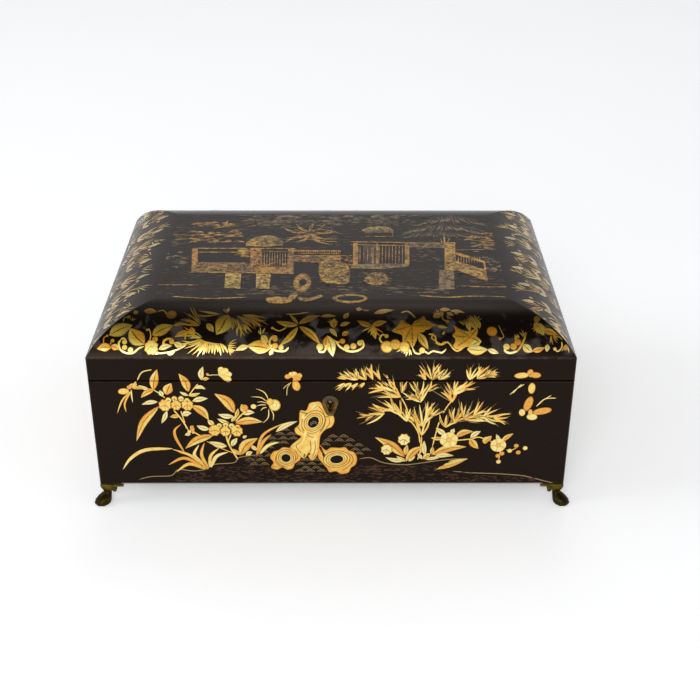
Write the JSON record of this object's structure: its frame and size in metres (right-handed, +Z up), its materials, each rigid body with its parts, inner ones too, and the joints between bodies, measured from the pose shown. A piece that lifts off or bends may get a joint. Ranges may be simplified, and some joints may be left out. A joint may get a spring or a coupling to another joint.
{
  "type": "sewing box",
  "caption": "Lacquered sewing box on cast paw feet, with a hinged lid with curved shoulders, a box lock and a lift-out tray with lidded compartments.",
  "frame": {"origin": "on the floor, under the middle of the box", "axes": "+X along the front to the right, +Y to the back, +Z up; the front faces -Y"},
  "size_m": [0.3712, 0.2642, 0.1556],
  "materials": {
    "black_lacquer": "gloss lacquer with gilt decoration",
    "cast_brass": "cast, darkened on the paws",
    "dark_brass": "worn, darkened",
    "yellow_brass": "polished",
    "steel": "plain",
    "velvet": "velvet pile",
    "turned_bone": "polished bone"
  },
  "bodies": {
    "case": {"front_wall": "black_lacquer", "back_wall": "black_lacquer", "left_wall": "black_lacquer", "right_wall": "black_lacquer", "bottom_board": "black_lacquer", "tray_bearer_left": "black_lacquer", "tray_bearer_right": "black_lacquer", "foot_front_left": "cast_brass", "foot_front_right": "cast_brass", "foot_back_left": "cast_brass", "foot_back_right": "cast_brass", "escutcheon": "dark_brass", "lock_plate": "yellow_brass", "lock_cap": "yellow_brass", "drill_pin": "steel", "bolt_spring": "steel", "hinge_left_case_leaf": "yellow_brass", "hinge_right_case_leaf": "yellow_brass", "hinge_left_pin": "yellow_brass", "hinge_right_pin": "yellow_brass", "case_screws": "steel"},
    "lid": {"lid_front_rail": "black_lacquer", "lid_back_rail": "black_lacquer", "lid_left_rail": "black_lacquer", "lid_right_rail": "black_lacquer", "lid_top_panel": "black_lacquer", "hinge_left_lid_leaf": "yellow_brass", "hinge_right_lid_leaf": "yellow_brass", "link_plate": "yellow_brass", "link_loops": "yellow_brass", "lid_screws": "steel"},
    "lock_bolt": {"lock_bolt": "steel"},
    "tray": {"tray_front": "black_lacquer", "tray_back": "black_lacquer", "tray_left": "black_lacquer", "tray_right": "black_lacquer", "tray_bottom": "black_lacquer", "bank_divider_left": "black_lacquer", "bank_divider_right": "black_lacquer", "cross_dividers": "black_lacquer", "trough_dividers": "black_lacquer", "well_dividers": "black_lacquer", "lid_ledges": "black_lacquer", "pincushion": "velvet"},
    "compartment_lid_left_front": {"compartment_lid_left_front": "black_lacquer", "knob_left_front": "turned_bone"},
    "compartment_lid_left_middle": {"compartment_lid_left_middle": "black_lacquer", "knob_left_middle": "turned_bone"},
    "compartment_lid_left_back": {"compartment_lid_left_back": "black_lacquer", "knob_left_back": "turned_bone"},
    "compartment_lid_right_front": {"compartment_lid_right_front": "black_lacquer", "knob_right_front": "turned_bone"},
    "compartment_lid_right_middle": {"compartment_lid_right_middle": "black_lacquer", "knob_right_middle": "turned_bone"},
    "compartment_lid_right_back": {"compartment_lid_right_back": "black_lacquer", "knob_right_back": "turned_bone"}
  },
  "joints": [
    {"name": "lid_hinge", "type": "hinge", "parent": "case", "child": "lid", "pos_m": [0, 0.1265, 0.1112], "axis": [-1, 0, 0], "range_deg": [0, 100]},
    {"name": "bolt_throw", "type": "slide", "parent": "case", "child": "lock_bolt", "axis": [1, 0, 0], "range_m": [0, 0.0045]},
    {"name": "tray_lift", "type": "slide", "parent": "case", "child": "tray", "axis": [0, 0, 1], "range_m": [0, 0.015]},
    {"name": "compartment_lid_left_front_lift", "type": "slide", "parent": "tray", "child": "compartment_lid_left_front", "axis": [0, 0, 1], "range_m": [0, 0.01]},
    {"name": "compartment_lid_left_middle_lift", "type": "slide", "parent": "tray", "child": "compartment_lid_left_middle", "axis": [0, 0, 1], "range_m": [0, 0.01]},
    {"name": "compartment_lid_left_back_lift", "type": "slide", "parent": "tray", "child": "compartment_lid_left_back", "axis": [0, 0, 1], "range_m": [0, 0.01]},
    {"name": "compartment_lid_right_front_lift", "type": "slide", "parent": "tray", "child": "compartment_lid_right_front", "axis": [0, 0, 1], "range_m": [0, 0.01]},
    {"name": "compartment_lid_right_middle_lift", "type": "slide", "parent": "tray", "child": "compartment_lid_right_middle", "axis": [0, 0, 1], "range_m": [0, 0.01]},
    {"name": "compartment_lid_right_back_lift", "type": "slide", "parent": "tray", "child": "compartment_lid_right_back", "axis": [0, 0, 1], "range_m": [0, 0.01]}
  ]
}
